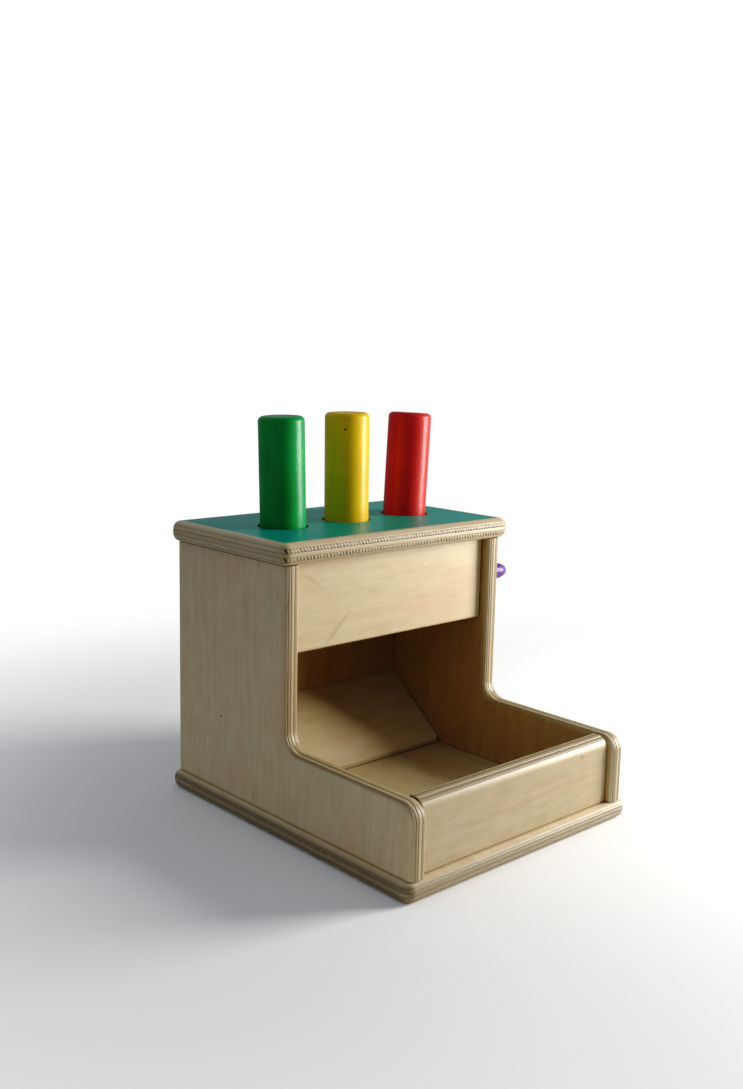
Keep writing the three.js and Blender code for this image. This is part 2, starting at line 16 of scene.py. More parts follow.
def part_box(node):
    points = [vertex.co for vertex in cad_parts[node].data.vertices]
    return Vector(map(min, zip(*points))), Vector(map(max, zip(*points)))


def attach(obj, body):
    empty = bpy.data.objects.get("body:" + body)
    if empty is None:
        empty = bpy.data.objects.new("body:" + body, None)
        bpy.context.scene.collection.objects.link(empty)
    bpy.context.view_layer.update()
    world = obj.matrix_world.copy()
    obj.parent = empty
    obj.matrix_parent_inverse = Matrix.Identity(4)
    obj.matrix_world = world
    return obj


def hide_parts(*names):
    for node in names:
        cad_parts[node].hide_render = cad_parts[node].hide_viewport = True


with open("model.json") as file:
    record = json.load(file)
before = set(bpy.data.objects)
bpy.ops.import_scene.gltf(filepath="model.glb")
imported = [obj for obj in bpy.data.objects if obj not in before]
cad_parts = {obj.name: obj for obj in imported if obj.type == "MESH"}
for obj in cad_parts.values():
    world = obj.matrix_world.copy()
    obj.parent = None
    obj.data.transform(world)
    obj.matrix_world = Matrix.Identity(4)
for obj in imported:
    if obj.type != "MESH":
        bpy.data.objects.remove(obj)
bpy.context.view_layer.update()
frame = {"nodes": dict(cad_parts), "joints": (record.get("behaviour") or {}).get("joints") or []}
nodes = frame["nodes"]
MM = 0.001

# %% [markdown]
# ## Small helpers
# A colour given here is an sRGB hex value, and Blender's shaders want linear light, so one function
# converts it. Another adds a node: a setting goes to the node's own property of that name or else to its
# input, and another node's output can stand in for any value. The rest are the handful of nodes that every
# finish here is made of.

# %% Colour and node helpers
def linear(hex_colour):
    """'#d8c39a' to a linear RGBA tuple."""
    channels = [int(hex_colour[i:i + 2], 16) / 255 for i in (1, 3, 5)]
    curve = [c / 12.92 if c <= 0.04045 else ((c + 0.055) / 1.055) ** 2.4 for c in channels]
    return (*curve, 1.0)


def add(tree, kind, settings=None):
    """Adds a node to a tree, sets it up and links its inputs."""
    node = tree.nodes.new(kind)
    for key, value in (settings or {}).items():
        if isinstance(key, str) and hasattr(node, key):
            setattr(node, key, value)
        elif isinstance(value, bpy.types.NodeSocket):
            tree.links.new(value, node.inputs[key])
        else:
            node.inputs[key].default_value = value
    return node


def maths(tree, operation, *values, clamp=False):
    """The result of a Math node."""
    settings = {"operation": operation, "use_clamp": clamp}
    return add(tree, "ShaderNodeMath", settings | dict(enumerate(values))).outputs[0]


def ranged(tree, value, low, high, top=1.0, bottom=0.0, smooth=False):
    """A value carried over from low..high to bottom..top."""
    kind = "SMOOTHSTEP" if smooth else "LINEAR"
    return add(tree, "ShaderNodeMapRange", {"interpolation_type": kind, 0: value, 1: low, 2: high,
                                            3: bottom, 4: top}).outputs[0]


def vector_maths(tree, operation, *values, output=0):
    """The result of a Vector Math node."""
    settings = {"operation": operation} | dict(enumerate(values))
    return add(tree, "ShaderNodeVectorMath", settings).outputs[output]


def noise(tree, where, scale, detail):
    """A noise texture's grey value."""
    return add(tree, "ShaderNodeTexNoise", {"Vector": where, "Scale": scale, "Detail": detail}).outputs[0]


def blend(tree, share, one, other, mode="MIX"):
    """A colour that turns from one to the other as the share goes from 0 to 1."""
    one, other = (linear(c) if isinstance(c, str) else c for c in (one, other))
    return add(tree, "ShaderNodeMix", {"data_type": "RGBA", "blend_type": mode, "Factor": share,
                                       6: one, 7: other}).outputs[2]


def bump(tree, height, strength, distance):
    """A bump whose distance is in millimetres."""
    return add(tree, "ShaderNodeBump", {"Height": height, "Strength": strength,
                                        "Distance": distance * MM}).outputs[0]


def grey_ramp(tree, value, stops):
    """A colour ramp with grey stops: (place, level)."""
    node = add(tree, "ShaderNodeValToRGB", {0: value})
    elements = node.color_ramp.elements
    while len(elements) < len(stops):
        elements.new(1.0)
    for element, (place, level) in zip(elements, stops):
        element.position = place
        element.color = (level, level, level, 1.0)
    return node.outputs[0]


def new_finish(name):
    """A new material, its emptied tree and its coordinates."""
    material = bpy.data.materials.new(name)
    material.use_nodes = True
    tree = material.node_tree
    tree.nodes.clear()
    return material, tree, add(tree, "ShaderNodeTexCoord").outputs


def show(tree, kind, settings):
    """Adds the shader that the material shows."""
    shader = add(tree, kind, settings)
    add(tree, "ShaderNodeOutputMaterial", {"Surface": shader.outputs[0]})


def dress(obj, finish):
    """Gives an object this one material."""
    obj.data.materials.clear()
    obj.data.materials.append(finish)


# %% [markdown]
# ## Mesh helpers
# Every finished piece is an object at the origin with its place in its mesh. Long smooth
# rounds next to big flat faces shade well when faces are smooth, edges over 30 degrees are
# sharp, and the normals are weighted by face area, so one function finishes every mesh so.

# %% Piece helpers
SHARP_ANGLE = math.radians(30)


def settle(obj):
    """Turns an object's live modifiers into its own plain mesh."""
    graph = bpy.context.evaluated_depsgraph_get()
    mesh = bpy.data.meshes.new_from_object(obj.evaluated_get(graph), depsgraph=graph)
    obj.modifiers.clear()
    old = obj.data
    obj.data = mesh
    bpy.data.meshes.remove(old)


def put(name, data, material=None):
    """Puts an object with this data in the scene."""
    obj = bpy.data.objects.new(name, data)
    bpy.context.scene.collection.objects.link(obj)
    if material:
        data.materials.append(material)
    return obj


def finish_piece(obj, body, slot, *replaced):
    """Smooth shading, then the piece is attached to its body and the frame parts it replaces are hidden."""
    for polygon in obj.data.polygons:
        polygon.use_smooth = True
    obj.data.set_sharp_from_angle(angle=SHARP_ANGLE)
    weigh = obj.modifiers.new("weighted normals", "WEIGHTED_NORMAL")
    weigh.keep_sharp = True
    bpy.context.view_layer.update()
    settle(obj)
    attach(obj, body)
    if replaced:
        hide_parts(*replaced)
    print(f"{obj.name}: {len(obj.data.polygons)} faces on {body}")


# %% [markdown]
# ## Sizes
# Where a board stands comes from the frame. What a box can't tell, such as the radius of a
# sanded edge, is named here in millimetres.

# %% Sizes
BOX_BODY = "box"
WALL_EDGE_R = 2.8
BASE_EDGE_R = 3.5
LID_EDGE_R = 4.0
PLAN_CORNER_R = 5.0
TRAY_CORNER_R = 8.0
TOWER_FILLET_R = 8.5
TRAY_HEIGHT = 32.5
TOWER_DEPTH = 85.4
TRAY_BOARD_FRONT_R = 5.5
TRAY_BOARD_BACK_R = 1.4
FASCIA_EDGE_R = 1.2
RAMP_FOOT_LIP = 2.2
RAMP_THICKNESS = 7.0
RAMP_CORNER_R = 3.0
SHARP_BREAK = 0.35  # how much sandpaper takes off an edge that is otherwise square
OUTLINE_STEP = 6.0  # mm between points on a board's straight sides
BEYOND = 2.0  # mm that a cutter reaches past the face it cuts


def box_mm(node):
    """The low and high corners of a CAD node's box, in millimetres."""
    low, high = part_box(node)
    return low / MM, high / MM


base_low, base_high = box_mm("base_board")
wall_low, wall_high = box_mm("right_side_wall")
lid_low, lid_high = box_mm("top_board")
PLY = base_high.z - base_low.z
FLOOR = base_high.z
TOWER_FRONT = wall_high.y - TOWER_DEPTH
TRAY_TOP = FLOOR + TRAY_HEIGHT
print(f"ply {PLY:.2f} mm, tower front at y {TOWER_FRONT:.2f}, tray top at z {TRAY_TOP:.2f}")

# %% [markdown]
# ## How a sanded plywood board is shaped
# A board is an outline given thickness. Its edge isn't a plain round: sandpaper bites deeper
# into the glue lines and the end grain than into the long grain, so five plies show as fine
# ridges. We sweep a cross-section, rounded at both faces, round the outline, then press the
# ridges in along the surface normal. A bevel modifier can't know where the plies are.

# %% Outlines
def arc(centre, radius, start, stop, steps):
    """Points on an arc, angles in degrees."""
    turn = [math.radians(start + (stop - start) * i / steps) for i in range(steps + 1)]
    return [Vector((centre[0] + radius * math.cos(a), centre[1] + radius * math.sin(a))) for a in turn]


def fine(points, step):
    """Splits the long straight stretches of a closed outline so that none is over a step."""
    result = []
    for here, there in zip(points, points[1:] + points[:1]):
        count = max(1, math.ceil((there - here).length / step))
        result += [here.lerp(there, i / count) for i in range(count)]
    return result


def corner(at, radius, start, steps=3):
    """The quarter round that takes a square corner off an outline, from this angle on."""
    right, up = {-90: (1, -1), 0: (1, 1), 90: (-1, 1), 180: (-1, -1)}[start]
    return arc((at[0] - right * radius, at[1] - up * radius), radius, start, start + 90, steps)


def round_rectangle(low, high, radius, steps=10):
    """Closed outline with round corners, anticlockwise."""
    (x0, y0), (x1, y1) = low, high
    points = []
    for at, start in (((x1, y0), -90), ((x1, y1), 0), ((x0, y1), 90), ((x0, y0), 180)):
        points += corner(at, radius, start, steps)
    return points


def inset(points, amount):
    """The closed outline moved inwards by an amount, corners mitred."""
    moved = []
    for before, here, after in zip(points[-1:] + points[:-1], points, points[1:] + points[:1]):
        one = (here - before).normalized()
        two = (after - here).normalized()
        normal_one = Vector((-one.y, one.x))
        normal_two = Vector((-two.y, two.x))
        miter = (normal_one + normal_two) / (1 + normal_one.dot(normal_two))
        moved.append(here + miter * amount)
    return moved


# %% Cross-section and ridges
GLUE_LINES = (0.2, 0.4, 0.6, 0.8)  # of the thickness, five plies
GLUE_GROOVE = 0.13  # mm deep
GLUE_GROOVE_WIDTH = 0.20  # mm
CROSS_PLY_SINK = 0.12  # mm that the end-grain plies lie lower
EDGE_STEP = 0.16  # mm between samples across an edge


def groove_at(share):
    """How deep the sanded edge sinks at this share of the thickness, in mm."""
    across = share * PLY
    glue = sum(math.exp(-((across - line * PLY) / GLUE_GROOVE_WIDTH) ** 2) for line in GLUE_LINES)
    in_cross_ply = 0.2 < share < 0.4 or 0.6 < share < 0.8
    return GLUE_GROOVE * min(glue, 1) + (CROSS_PLY_SINK if in_cross_ply else 0)


def edge_section(thickness, radius):
    """(inset, height) pairs from the lower face to the upper face of a rounded edge."""
    turns = max(6, math.ceil(radius * math.pi / 2 / EDGE_STEP))
    lower = [(radius * (1 - math.sin(a)), radius * (1 - math.cos(a)))
             for a in (math.pi / 2 * i / turns for i in range(turns + 1))]
    flat = thickness - 2 * radius
    count = max(1, math.ceil(flat / EDGE_STEP))
    middle = [(0.0, radius + flat * i / count) for i in range(1, count)]
    upper = [(inward, thickness - height) for inward, height in reversed(lower)]
    return lower + middle + upper


def swept_board(name, outline, section, place):
    """Sweeps a section round an outline. place turns (u, v, height) in mm into a point."""
    rings = [[place(p.x, p.y, height) for p in inset(outline, inward)] for inward, height in section]
    count = len(outline)
    vertices = [Vector(p) * MM for ring in rings for p in ring]
    faces = [tuple(reversed(range(count)))]
    for level in range(len(rings) - 1):
        low, high = level * count, (level + 1) * count
        for i in range(count):
            j = (i + 1) % count
            faces.append((low + i, low + j, high + j, high + i))
    top = (len(rings) - 1) * count
    faces.append(tuple(range(top, top + count)))
    mesh = bpy.data.meshes.new(name)
    mesh.from_pydata(vertices, [], faces)
    return mesh


def press_plies(mesh, axis, low, thickness):
    """Sinks the glue lines and cross plies of a board's edges. axis is the ply stack's."""
    axis = Vector(axis)
    moves = []
    for vertex in mesh.vertices:
        share = (vertex.co.dot(axis) / MM - low) / thickness
        edge_on = 1 - abs(vertex.normal.dot(axis))
        moves.append(vertex.normal * -groove_at(share) * MM * edge_on)
    for vertex, move in zip(mesh.vertices, moves):
        vertex.co += move


# %% [markdown]
# ## Cutting holes
# Peg holes and countersinks go right through flat faces. An exact Boolean keeps the sanded
# rounds untouched. Cutters are turned solids: a profile of (radius, height) spun on an axis.

# %% Turned solids and drilling
ON_AXIS = 1e-6  # mm; a smaller radius is a single point on the axis


def turned_mesh(name, profile, foot, axis, segments):
    """Spins (radius, height) points, in mm, on an axis that starts at foot."""
    axis = Vector(axis).normalized()
    side = axis.orthogonal().normalized()
    other = axis.cross(side)
    bm = bmesh.new()
    rings = []
    for radius, height in profile:
        centre = Vector(foot) + axis * height
        if radius < ON_AXIS:
            rings.append([bm.verts.new(centre * MM)])
            continue
        turn = [2 * math.pi * i / segments for i in range(segments)]
        rings.append([bm.verts.new((centre + (side * math.cos(a) + other * math.sin(a)) * radius) * MM)
                      for a in turn])
    for low, high in zip(rings, rings[1:]):
        for i in range(segments):
            j = (i + 1) % segments
            corners = [low[i % len(low)], low[j % len(low)], high[j % len(high)], high[i % len(high)]]
            bm.faces.new(dict.fromkeys(corners))
    if len(rings[0]) > 1 and rings[0][0].co != rings[-1][0].co:
        bm.faces.new(list(reversed(rings[0])))
        bm.faces.new(rings[-1])
    bmesh.ops.recalc_face_normals(bm, faces=bm.faces)
    mesh = bpy.data.meshes.new(name)
    bm.to_mesh(mesh)
    bm.free()
    return mesh


def carve(obj, tool, operation):
    """Cuts an object by a tool (DIFFERENCE), or down to it (INTERSECT), and throws the tool away."""
    cut = obj.modifiers.new("carve", "BOOLEAN")
    cut.operation = operation
    cut.solver = "EXACT"
    cut.object = tool
    bpy.context.view_layer.update()
    settle(obj)
    spent = tool.data
    bpy.data.objects.remove(tool)
    bpy.data.meshes.remove(spent)


def drill(obj, cutters):
    """Cuts each turned mesh out of an object, all in one go."""
    bm = bmesh.new()
    for cutter in cutters:
        bm.from_mesh(cutter)
        bpy.data.meshes.remove(cutter)
    joined = bpy.data.meshes.new("cutters")
    bm.to_mesh(joined)
    bm.free()
    carve(obj, put("cutters", joined), "DIFFERENCE")


# %% [markdown]
# ## Birch plywood, sanded and clear-lacquered
# Plywood is a stack of rotary-cut veneers with the grain turned a quarter at each ply. So the
# finish is a solid texture: in the board's own space we know how deep a point lies, which ply
# that is, and which way its fibres run. Cut such a solid anywhere and the right thing shows:
# long streaks on a face, and dark slanted checks where a rounded edge cuts the fibres across.
# One node group does this for every board, in millimetres.

# %% Plywood colours and scales
VENEER_LIGHT = "#cfbe99"
VENEER_STREAK = "#bda77e"
VENEER_BLUSH = "#cdab88"  # pinkish mineral bands
INNER_PAINTED_SHADE = "#e0d3b6"  # painted shade: inner faces, turned to the inside of the box, darkened browner
END_GRAIN = "#7d6745"
EDGE_WEAR_AND_SHADE = "#82755b"  # edges greyed: partly rubbed long grain, partly painted shade
CHECK_DARK = "#43331e"  # open lathe checks in the end grain
GLUE_BROWN = "#6f5838"
FLECK_BROWN = "#a98a5e"
CHECK_PITCH = 1.9  # mm between lathe checks
FIBRE = (1.0, 0.055, 1.0)  # cycles per mm across, along and through
STREAK = (0.30, 0.022, 0.30)
FLAME = (0.055, 0.016, 0.055)
MOTTLE = (0.11, 0.09, 0.11)
FLECK = (0.9, 0.22, 0.9)
FLAME_RINGS = 34.0  # how many contour lines the growth rings make
FIGURE_SHIFT = (71.0, 113.0)  # mm across and along that one shift moves the figure


def plywood_figure():
    """Node group: a point and a normal in board space to colour, roughness and height."""
    tree = bpy.data.node_groups.new("plywood figure", "ShaderNodeTree")
    for way, kind, names in (("INPUT", "Vector", ("Board", "Facing")),
                             ("INPUT", "Float", ("Thickness", "Checks", "End shade", "Edge shade")),
                             ("INPUT", "Color", ("Tint", "Inner painted shade")),
                             ("OUTPUT", "Color", ("Color",)),
                             ("OUTPUT", "Float", ("Roughness", "Height"))):
        for name in names:
            tree.interface.new_socket(name, in_out=way, socket_type="NodeSocket" + kind)
    given = add(tree, "NodeGroupInput").outputs
    where = add(tree, "ShaderNodeSeparateXYZ", {0: given["Board"]}).outputs
    facing = add(tree, "ShaderNodeSeparateXYZ", {0: given["Facing"]}).outputs

    # Which ply: the depth as a share of the thickness, with glue lines that wander a little.
    drift = maths(tree, "MULTIPLY_ADD", noise(tree, given["Board"], 0.12, 1.0), 0.5, -0.25)
    depth = maths(tree, "ADD", where["Z"], drift)
    share = maths(tree, "DIVIDE", depth, given["Thickness"])
    cross = grey_ramp(tree, share, [(0.195, 0), (0.205, 1), (0.395, 1), (0.405, 0),
                                    (0.595, 0), (0.605, 1), (0.795, 1), (0.805, 0)])
    glue = grey_ramp(tree, share, [(line + side, 1 if side == 0 else 0)
                                   for line in GLUE_LINES for side in (-0.016, 0, 0.016)])

    # Fibres run along Y in the face plies and along X in the cross plies.
    turned = add(tree, "ShaderNodeCombineXYZ", {0: where["Y"], 1: where["X"], 2: where["Z"]}).outputs[0]
    grain_space = add(tree, "ShaderNodeMix", {"data_type": "VECTOR", "Factor": cross,
                                              4: given["Board"], 5: turned}).outputs[1]
    end_face = add(tree, "ShaderNodeMix", {"data_type": "FLOAT", "Factor": cross,
                                           2: facing["Y"], 3: facing["X"]}).outputs[0]
    end_on = ranged(tree, maths(tree, "ABSOLUTE", end_face), 0.35, 0.85, smooth=True)

    # Five grades of the same noise: hair-fine fibres, streaks, growth-ring flames, mottles, flecks.
    looks = {}
    for name, stretch, detail in (("fibre", FIBRE, 2.0), ("streak", STREAK, 3.0),
                                  ("flame", FLAME, 1.0), ("mottle", MOTTLE, 3.0), ("fleck", FLECK, 0.0)):
        looks[name] = noise(tree, vector_maths(tree, "MULTIPLY", grain_space, stretch), 1.0, detail)
    contour = maths(tree, "SINE", maths(tree, "MULTIPLY", looks["flame"], FLAME_RINGS))
    mixed = ranged(tree, contour, 0.2, 1.0, 0.14)
    for name, low, high, weight in (("fibre", 0.45, 0.85, 0.42), ("mottle", 0.35, 0.7, 0.35),
                                    ("streak", 0.35, 0.75, 0.42)):
        line = ranged(tree, looks[name], low, high)
        mixed = maths(tree, "MULTIPLY_ADD", line, weight, mixed, clamp=True)
    colour = blend(tree, mixed, VENEER_LIGHT, VENEER_STREAK)

    # Slanted checks: a wave across the end grain, bent by noise and only here and there open.
    slant = add(tree, "ShaderNodeSeparateXYZ", {0: grain_space}).outputs
    leaning = maths(tree, "MULTIPLY_ADD", slant["Z"], 0.45, slant["X"])
    bent = maths(tree, "MULTIPLY_ADD", noise(tree, grain_space, 0.55, 2.0), 1.8, leaning)
    comb = maths(tree, "SINE", maths(tree, "MULTIPLY", bent, 2 * math.pi / CHECK_PITCH))
    check = ranged(tree, comb, 0.05, 0.35)
    opened = ranged(tree, noise(tree, grain_space, 0.16, 1.0), 0.3, 0.55, bottom=0.45)
    for factor in (opened, given["Checks"], cross, end_on):
        check = maths(tree, "MULTIPLY", check, factor)

    # Layer the colours, from the blush bands up to the glue, the edges greyed partly as painted shade, then
    # tint each face.
    # Painted shade in part: every edge face, away from the broad faces, is greyed by the edge shade amount.
    edge_on = ranged(tree, maths(tree, "ABSOLUTE", facing["Z"]), 0.995, 0.6, smooth=True)
    for shade, amount in ((VENEER_BLUSH, ranged(tree, looks["flame"], 0.54, 0.72, 0.55)),
                          (EDGE_WEAR_AND_SHADE, maths(tree, "MULTIPLY", edge_on, given["Edge shade"])),
                          (END_GRAIN, maths(tree, "MULTIPLY", end_on, given["End shade"])),
                          (FLECK_BROWN, ranged(tree, looks["fleck"], 0.78, 0.84, 0.3)),
                          (CHECK_DARK, maths(tree, "MULTIPLY", check, 0.95)),
                          (GLUE_BROWN, maths(tree, "MULTIPLY", glue, 0.9))):
        colour = blend(tree, amount, colour, shade)
    # Painted shade: a board's back face, which faces the inside of the box, takes the darker back tint.
    back_face = maths(tree, "GREATER_THAN", facing["Z"], 0.85)
    tint_with_inner_shade = blend(tree, back_face, given["Tint"], given["Inner painted shade"])
    colour = blend(tree, 1.0, colour, tint_with_inner_shade, "MULTIPLY")

    # Lacquer lies smooth on long grain and sinks into end grain, checks and glue lines.
    rough_wood = maths(tree, "MULTIPLY_ADD", looks["streak"], 0.14, 0.30)
    rough = maths(tree, "MULTIPLY_ADD", end_on, 0.14, rough_wood)
    dug = maths(tree, "MULTIPLY_ADD", check, -1.0, maths(tree, "MULTIPLY", looks["fibre"], 0.25))
    height = maths(tree, "MULTIPLY_ADD", glue, -0.4, dug)
    add(tree, "NodeGroupOutput", {"Color": colour, "Roughness": rough, "Height": height})
    return tree


PLYWOOD_FIGURE = plywood_figure()
print("plywood figure:", len(PLYWOOD_FIGURE.nodes), "nodes")

# %% [markdown]
# Each board then needs only its own bearings: which way its face fibres run, which way its plies stack,
# where the stack starts and how thick it is. Dot products with those directions turn the object's
# coordinates into board space. A shift gives every board its own figure, a tint its shade, a back tint a
# painted shade on its inner face, an edge shade a grey on its edges that is partly painted shade, and marks
# are the few stains and specks that a used toy has.

# %% A material for one board
def with_marks(tree, coordinates, colour, marks):
    """Lays small stains over a colour: each an ellipsoid with a soft rim, in mm on the object."""
    for centre, size, turn_y, shade, strength in marks:
        local = add(tree, "ShaderNodeMapping",
                    {"vector_type": "TEXTURE", "Vector": coordinates, "Location": Vector(centre) * MM,
                     "Rotation": (0.0, math.radians(turn_y), 0.0), "Scale": Vector(size) * MM})
        far = vector_maths(tree, "LENGTH", local.outputs[0], output="Value")
        colour = blend(tree, ranged(tree, far, 1.0, 0.35, strength, smooth=True), colour, shade)
    return colour


# inner_painted_shade is a painted shade on the board's inner face; edge_shade greys its edges, partly as
# painted shade.
def plywood(name, grain, stack, start, thickness, shift, checks=0.0, end_shade=0.7, edge_shade=0.25,
            tint="#ffffff", inner_painted_shade="#ffffff", marks=()):
    """Sanded birch plywood with a thin satin lacquer, for a board with these bearings."""
    grain, stack = Vector(grain).normalized(), Vector(stack).normalized()
    material, tree, source = new_finish(name)
    vectors = []
    for output in ("Object", "Normal"):
        parts = [vector_maths(tree, "DOT_PRODUCT", source[output], direction, output="Value")
                 for direction in (grain.cross(stack), grain, stack)]
        vectors.append(add(tree, "ShaderNodeCombineXYZ", dict(enumerate(parts))).outputs[0])
    offset = (shift * FIGURE_SHIFT[0], shift * FIGURE_SHIFT[1], -start)
    board = vector_maths(tree, "MULTIPLY_ADD", vectors[0], (1 / MM,) * 3, offset)
    figure = add(tree, "ShaderNodeGroup",
                 {"node_tree": PLYWOOD_FIGURE, "Board": board, "Facing": vectors[1],
                  "Thickness": thickness, "Checks": checks, "End shade": end_shade,
                  "Edge shade": edge_shade, "Tint": linear(tint), "Inner painted shade": linear(inner_painted_shade)}).outputs
    show(tree, "ShaderNodeBsdfPrincipled",
         {"IOR": 1.5, "Specular IOR Level": 0.5, "Coat Weight": 0.12, "Coat Roughness": 0.3,
          "Base Color": with_marks(tree, source["Object"], figure["Color"], marks),
          "Roughness": figure["Roughness"], "Normal": bump(tree, figure["Height"], 0.6, 0.15)})
    return material


X, Y, Z = (1, 0, 0), (0, 1, 0), (0, 0, 1)
# The base's edges are greyed most, partly as painted shade on its lit front.
base_ply = plywood("sanded birch plywood, base", Y, Z, base_low.z, PLY, 1, 0.35, 0.45, 0.75)

# %% [markdown]
# ## Base board
# The box stands on it, and it sticks out a few millimetres all round. Its ten countersunk
# holes are drilled from below.

# %% Base board
SCREW_HEAD_R = 4.0
SCREW_SHANK_R = 2.0
SCREW_HEAD_HEIGHT = 2.8
CLEAR = 0.3  # mm of air round a screw
CUTTER_STEPS = 40
UNDER_SCREWS = sorted(n for n in nodes
                      if n.startswith(("base_screw", "tray_board_screw", "back_panel_screw")))
GUIDE_SCREWS = sorted(n for n in nodes if n.startswith("guide_screw"))
CLEAT_SCREWS = sorted(n for n in nodes if n.startswith("cleat_screw"))


def middle_mm(node):
    """The middle of a CAD node's box, in millimetres."""
    low, high = box_mm(node)
    return (low + high) / 2


def countersink(name, head_centre, axis, length):
    """Cutter for one screw: wide for the head, narrow for the shank."""
    profile = [(SCREW_HEAD_R + CLEAR, -BEYOND), (SCREW_HEAD_R + CLEAR, CLEAR),
               (SCREW_SHANK_R + CLEAR, SCREW_HEAD_HEIGHT + CLEAR), (SCREW_SHANK_R + CLEAR, length)]
    return turned_mesh(name, profile, head_centre, axis, CUTTER_STEPS)


plan = fine(round_rectangle(base_low.xy, base_high.xy, PLAN_CORNER_R), OUTLINE_STEP)
mesh = swept_board("base_board_sanded", plan, edge_section(PLY, BASE_EDGE_R),
                   lambda u, v, w: (u, v, base_low.z + w))
press_plies(mesh, Z, base_low.z, PLY)
base = put("base_board_sanded", mesh, base_ply)
drill(base, [countersink("hole", (*middle_mm(n).xy, box_mm(n)[0].z), Z, PLY + BEYOND)
             for n in UNDER_SCREWS])
finish_piece(base, BOX_BODY, "birch_plywood", "base_board")

# %% [markdown]
# ## Side walls
# Two L-shaped walls, mirror images. The outline is drawn once, in the side view, with arcs for
# the tray's front corner and for the sweep up into the tower. It starts below the floor and
# ends above the lid, and is trimmed there, so that foot and head stay square.

# %% Side walls
TRIM_SPARE = 6.0  # mm that the swept wall is too long at foot and head
WALL_STEP = 8.0
LEFT_FACE = box_mm("left_side_wall")[0].x
WALL_MARKS = {"left": [((LEFT_FACE, 47.0, 45.1), (0.7, 0.7, 0.7), 0, "#241a10", 0.9)], "right": []}


def wall_outline():
    """Anticlockwise outline in (y, z), too long at the foot and the head."""
    foot, head = wall_low.z - TRIM_SPARE, wall_high.z + TRIM_SPARE
    points = [Vector((wall_low.y, foot)), Vector((wall_high.y, foot)), Vector((wall_high.y, head)),
              Vector((TOWER_FRONT, head))]
    points += arc((TOWER_FRONT - TOWER_FILLET_R, TRAY_TOP + TOWER_FILLET_R), TOWER_FILLET_R, 0, -90, 20)
    points += arc((wall_low.y + TRAY_CORNER_R, TRAY_TOP - TRAY_CORNER_R), TRAY_CORNER_R, 90, 180, 20)
    return fine(points, WALL_STEP)


def trim(obj, point, normal):
    """Cuts away what lies on the normal's side of a plane and closes the cut."""
    bm = bmesh.new()
    bm.from_mesh(obj.data)
    everything = bm.verts[:] + bm.edges[:] + bm.faces[:]
    cut = bmesh.ops.bisect_plane(bm, geom=everything, plane_co=Vector(point) * MM, plane_no=normal,
                                 clear_outer=True)
    rim = [e for e in cut["geom_cut"] if isinstance(e, bmesh.types.BMEdge)]
    bmesh.ops.edgeloop_fill(bm, edges=rim)
    bmesh.ops.recalc_face_normals(bm, faces=bm.faces)
    bm.to_mesh(obj.data)
    bm.free()


for number, side in enumerate(("left", "right")):
    low, high = box_mm(f"{side}_side_wall")
    thickness = high.x - low.x
    mesh = swept_board(f"{side}_wall_sanded", wall_outline(), edge_section(thickness, WALL_EDGE_R),
                       lambda u, v, w: (low.x + w, u, v))
    press_plies(mesh, X, low.x, thickness)
    outwards, outer = ((1, 0, 0), low.x) if side == "left" else ((-1, 0, 0), -high.x)
    material = plywood(f"sanded birch plywood, {side} wall", Z, outwards, outer, thickness, 3 + number,
                       inner_painted_shade=INNER_PAINTED_SHADE, marks=WALL_MARKS[side])
    wall = put(f"{side}_wall_sanded", mesh, material)
    trim(wall, (0, 0, low.z), (0, 0, -1))
    trim(wall, (0, 0, high.z), Z)
    finish_piece(wall, BOX_BODY, "birch_plywood", f"{side}_side_wall")

# %% [markdown]
# ## Boards that only show one rounded edge
# The fascia, the tray's front board and the ramp sit between the walls, so their ends don't
# show. Each is a side-view profile drawn straight across the box, with fine steps where the
# plies come to the surface.

# %% Profile boards
def across_box(name, profile, x0, x1, step=EDGE_STEP * 1.5):
    """Closed (y, z) profile, anticlockwise, drawn from x0 to x1."""
    return swept_board(name, fine(profile, step),
                       [(SHARP_BREAK, 0.0), (0.0, SHARP_BREAK), (0.0, x1 - x0 - SHARP_BREAK),
                        (SHARP_BREAK, x1 - x0)],
                       lambda u, v, w: (x0 + w, u, v))


def profile_board(name, node, rounds, shift, **look):
    """A board across the box. Its rounds go from the lower front edge on: (radius, steps)."""
    low, high = box_mm(node)
    depth = high.y - low.y
    profile = []
    for at, start, (radius, steps) in zip(((low.y, low.z), (high.y, low.z), (high.y, high.z),
                                           (low.y, high.z)), (180, -90, 0, 90), rounds):
        profile += corner(at, radius, start, steps)
    mesh = across_box(name, profile, low.x, high.x)
    press_plies(mesh, Y, low.y, depth)
    words = name.removesuffix("_sanded").replace("_", " ")
    ply = plywood(f"sanded birch plywood, {words}", X, Y, low.y, depth, shift,
                  inner_painted_shade=INNER_PAINTED_SHADE, **look)
    finish_piece(put(name, mesh, ply), BOX_BODY, "birch_plywood", node)


